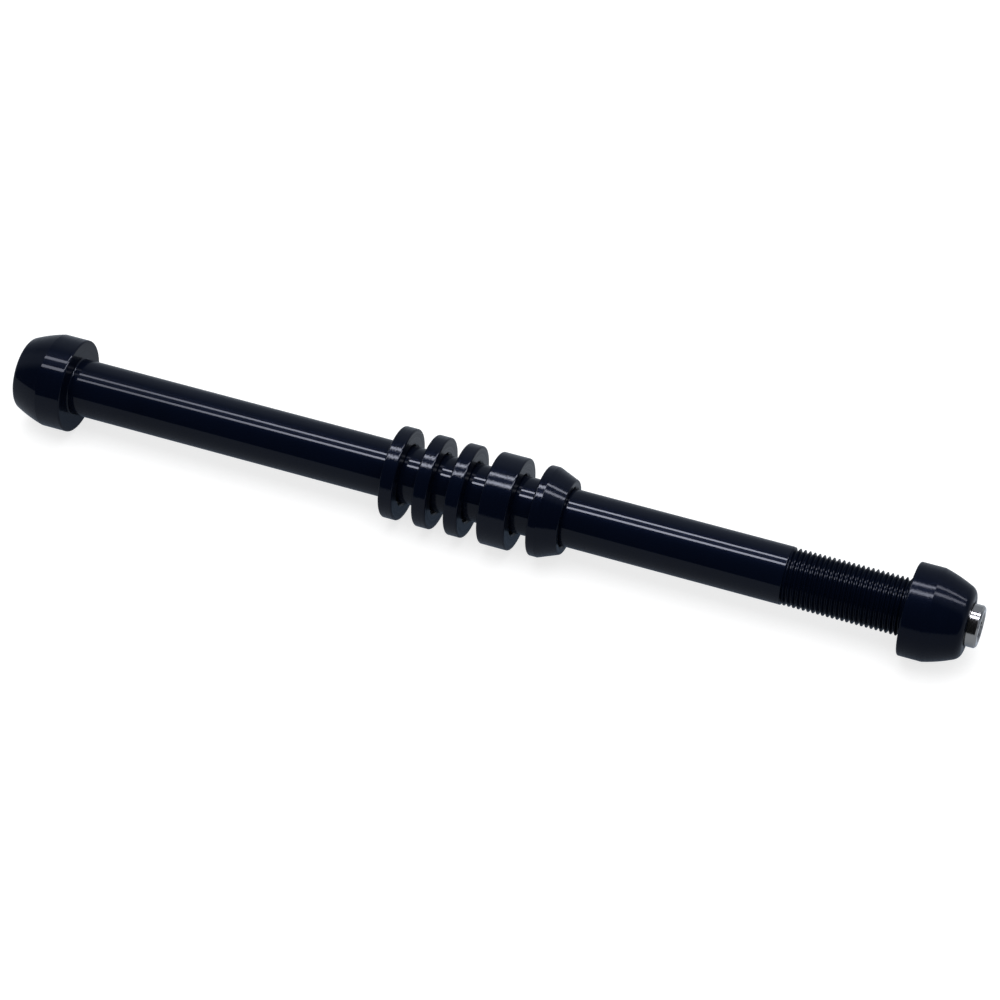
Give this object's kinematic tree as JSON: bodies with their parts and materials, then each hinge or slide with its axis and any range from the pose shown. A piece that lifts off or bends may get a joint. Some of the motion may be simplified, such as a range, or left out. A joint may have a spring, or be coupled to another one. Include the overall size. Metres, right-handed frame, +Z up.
{
  "type": "thru axle trainer adapter",
  "caption": "Bicycle thru axle adapter for a wheel-on trainer: a turned 12 mm axle with domed ends, loose spacers, a conical washer and a lock nut with a steel key insert.",
  "frame": {"origin": "on the axle's centre line, in the plane of the head's bearing shoulder", "axes": "+Y along the axle towards its head, -Y towards the lock nut, +Z up as it lies"},
  "size_m": [0.0198, 0.2075, 0.0198],
  "materials": {
    "black_anodised": "turned and polished, gloss black anodised",
    "bright_steel": "turned, bright nickel plated"
  },
  "bodies": {
    "axle": {"axle": "black_anodised"},
    "thin_spacer_1": {"thin_spacer_1": "black_anodised"},
    "thin_spacer_2": {"thin_spacer_2": "black_anodised"},
    "thin_spacer_3": {"thin_spacer_3": "black_anodised"},
    "wide_spacer": {"wide_spacer": "black_anodised"},
    "conical_washer": {"conical_washer": "black_anodised"},
    "lock_nut": {"lock_nut": "black_anodised", "key_insert": "bright_steel"}
  },
  "joints": [
    {"name": "thin_spacer_1_slide", "type": "slide", "parent": "axle", "child": "thin_spacer_1", "axis": [0, -1, 0], "range_m": [-0.0714, 0.0693]},
    {"name": "thin_spacer_2_slide", "type": "slide", "parent": "thin_spacer_1", "child": "thin_spacer_2", "axis": [0, -1, 0], "range_m": [-0.0042, 0]},
    {"name": "thin_spacer_3_slide", "type": "slide", "parent": "thin_spacer_2", "child": "thin_spacer_3", "axis": [0, -1, 0], "range_m": [-0.0038, 0]},
    {"name": "wide_spacer_slide", "type": "slide", "parent": "thin_spacer_3", "child": "wide_spacer", "axis": [0, -1, 0], "range_m": [-0.0041, 0]},
    {"name": "conical_washer_slide", "type": "slide", "parent": "wide_spacer", "child": "conical_washer", "axis": [0, -1, 0], "range_m": [-0.0044, 0]},
    {"name": "lock_nut_travel", "type": "slide", "parent": "axle", "child": "lock_nut", "axis": [0, -1, 0], "range_m": [-0.0019, 0.0056]}
  ]
}
